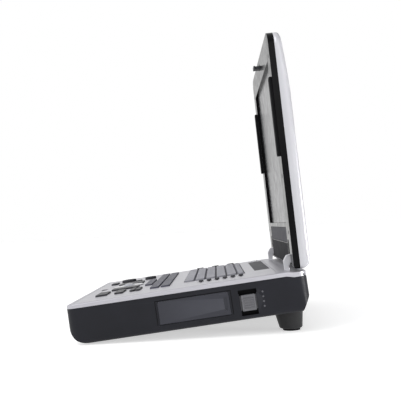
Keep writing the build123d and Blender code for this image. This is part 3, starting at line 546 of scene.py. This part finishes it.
rim = [(x, y, cover_high.z) for x, y, z in cover_ring(0)]
mesh = bmesh.new()
loft(mesh, [rim] + [cover_ring(inset) for inset in COVER_INSETS], capped=False)
mesh.verts.ensure_lookup_table()
mesh.faces.new(mesh.verts[-len(rim):])
cover = piece("lid_back_shell", mesh, LID, "lid", "lid_silver", ["lid_back_cover"])
shell = cover.modifiers.new("shell", "SOLIDIFY")
shell.thickness = COVER_SHELL * MM
shell.offset = -1

# ---- Hinge cover: the matt strip between the arms, under the chin panel -----------------------
STRIP_ABOVE_EDGE, STRIP_UNDER_CHIN = 5, 1  # gaps to the bezel's lower edge and the chin panel
STRIP_HEIGHT = 0.25

chin_low, chin_high = corners_in(LID, "chin_panel")
bezel_low, bezel_high = corners_in(LID, "lid_bezel")
strip_low, strip_high = bezel_low.y + STRIP_ABOVE_EDGE, chin_low.y - STRIP_UNDER_CHIN
mesh = bmesh.new()
loft(mesh, [ring(chin_high.x - chin_low.x, strip_high - strip_low, 2, 0, (strip_high + strip_low) / 2, z)
            for z in (bezel_high.z, bezel_high.z + STRIP_HEIGHT)])
strip = piece("hinge_cover_strip", mesh, LID, "lid", "chin_grey")
strip.data.materials[0] = MATERIALS["chin_black"]

# ---- Painted shadow of the side door's recess: a dark line along its front, top and rear edges ---
SHADOW_LINE_GAP, SHADOW_LINE_WIDTH, SHADOW_LINE_HEIGHT = 0.3, 1.2, 0.12

low, high = corners_in(BASE, "side_door")
case_side = corners_in(BASE, "bottom_case")[1].x
front, rear, top = low.y - SHADOW_LINE_GAP, high.y + SHADOW_LINE_GAP, high.z + SHADOW_LINE_GAP
# Painted shadow: thin dark bars on the case side stand for the shade along the door's recessed edges.
mesh = bmesh.new()
for y_range, z_range in (((front - SHADOW_LINE_WIDTH, rear + SHADOW_LINE_WIDTH), (top, top + SHADOW_LINE_WIDTH)),
                         ((front - SHADOW_LINE_WIDTH, front), (low.z, top)),
                         ((rear, rear + SHADOW_LINE_WIDTH), (low.z, top))):
    block(mesh, (case_side - SHADOW_LINE_HEIGHT, y_range[0], z_range[0]),
          (case_side + SHADOW_LINE_HEIGHT, y_range[1], z_range[1]), 0.05)
piece("side_door_painted_shadow", mesh, BASE, "base", "socket_black")

# ---- Floor, light, camera ---------------------------------------------------------------------
scene = bpy.context.scene
scene.view_settings.view_transform = "Standard"

world = bpy.data.worlds.new("studio")
scene.world = world
world.use_nodes = True
BEHIND_LIGHT = 0.15  # how bright the room is behind the console
DARK_FROM, DARK_TO = 0.0, 0.45  # y of a ray's direction where the darkening starts and ends


def light_room(tree):
    """White room that darkens behind the console, to shade its rear edges; camera rays see white."""
    nodes, links = tree.nodes, tree.links
    place = nodes.new("ShaderNodeTexCoord")
    split = nodes.new("ShaderNodeSeparateXYZ")
    ranged = nodes.new("ShaderNodeMapRange")
    ranged.inputs["From Min"].default_value = DARK_FROM
    ranged.inputs["From Max"].default_value = DARK_TO
    ranged.inputs["To Min"].default_value = 1.0
    ranged.inputs["To Max"].default_value = BEHIND_LIGHT
    path = nodes.new("ShaderNodeLightPath")
    backdrop = nodes.new("ShaderNodeMath")
    backdrop.operation = "MAXIMUM"
    links.new(place.outputs["Generated"], split.inputs["Vector"])
    links.new(split.outputs["Y"], ranged.inputs["Value"])
    links.new(ranged.outputs["Result"], backdrop.inputs[0])
    links.new(path.outputs["Is Camera Ray"], backdrop.inputs[1])
    links.new(backdrop.outputs["Value"], nodes["Background"].inputs["Strength"])
    nodes["Background"].inputs["Color"].default_value = (1.0, 1.0, 1.0, 1)


light_room(world.node_tree)

FLOOR_GLOW = 0.55  # keeps the pale floor from showing a horizon against the backdrop
FLOOR_SIZE, FLOOR_Z = 30, -0.0005  # in metres

bpy.ops.mesh.primitive_plane_add(size=FLOOR_SIZE, location=(0, 0, FLOOR_Z))
floor = bpy.context.object
floor.name = "floor"
floor_paper = surface("floor_paper", (0.68, 0.68, 0.68), 0.9, specular=0.1, depth=0.00002,
                      mottle=0.005)
floor.data.materials.append(floor_paper)
floor_shader = floor_paper.node_tree.nodes["Principled BSDF"]
floor_shader.inputs["Emission Color"].default_value = (1, 1, 1, 1)
floor_shader.inputs["Emission Strength"].default_value = FLOOR_GLOW


def area_light(name, location, target, size, power):
    """Square soft light that looks from location towards target, in metres and watts."""
    light = bpy.data.lights.new(name, "AREA")
    light.energy = power
    light.size = size
    lamp = bpy.data.objects.new(name, light)
    scene.collection.objects.link(lamp)
    lamp.location = location
    lamp.rotation_mode = "QUATERNION"
    lamp.rotation_quaternion = (Vector(target) - Vector(location)).to_track_quat("-Z", "Y")


area_light("main_light", (1.2, -1.4, 2.2), (0, 0, 0.15), 1.4, 24)
area_light("side_light", (2.2, 0.6, 1.1), (0, 0, 0.15), 1.2, 5)
area_light("foot_light", (0.55, 1.10, 0.10), (0.16, 0.14, 0.02), 0.3, 9)

CAMERA_PLACE = (1177, 232, 84)  # in BASE, 987 mm from the console's right side
CAMERA_ROLL = math.radians(8.7)  # the base's length rises this much to the right in the picture
FOCAL = 678.8  # in pixels of a picture that is PICTURE wide
SIDEWAYS, DOWNWARDS = 15, 24  # pixels from the picture's centre to where the width axis vanishes
PICTURE = 401
SENSOR = 36


def aim_camera():
    """A camera at the object's right side that looks along its width, a little up and forward."""
    across = BACK * math.cos(CAMERA_ROLL) - UP * math.sin(CAMERA_ROLL)
    upward = BACK * math.sin(CAMERA_ROLL) + UP * math.cos(CAMERA_ROLL)
    sight = (Vector((-1, 0, 0)) * FOCAL - across * SIDEWAYS + upward * DOWNWARDS).normalized()
    across = (across - sight * across.dot(sight)).normalized()
    upward = across.cross(sight)
    camera = bpy.data.objects.new("camera", bpy.data.cameras.new("camera"))
    scene.collection.objects.link(camera)
    camera.matrix_world = (Matrix.Translation(BASE @ Vector(CAMERA_PLACE))
                           @ Matrix((across, upward, -sight)).transposed().to_4x4())
    camera.data.sensor_width = SENSOR
    camera.data.lens = SENSOR * FOCAL / PICTURE
    scene.camera = camera


aim_camera()
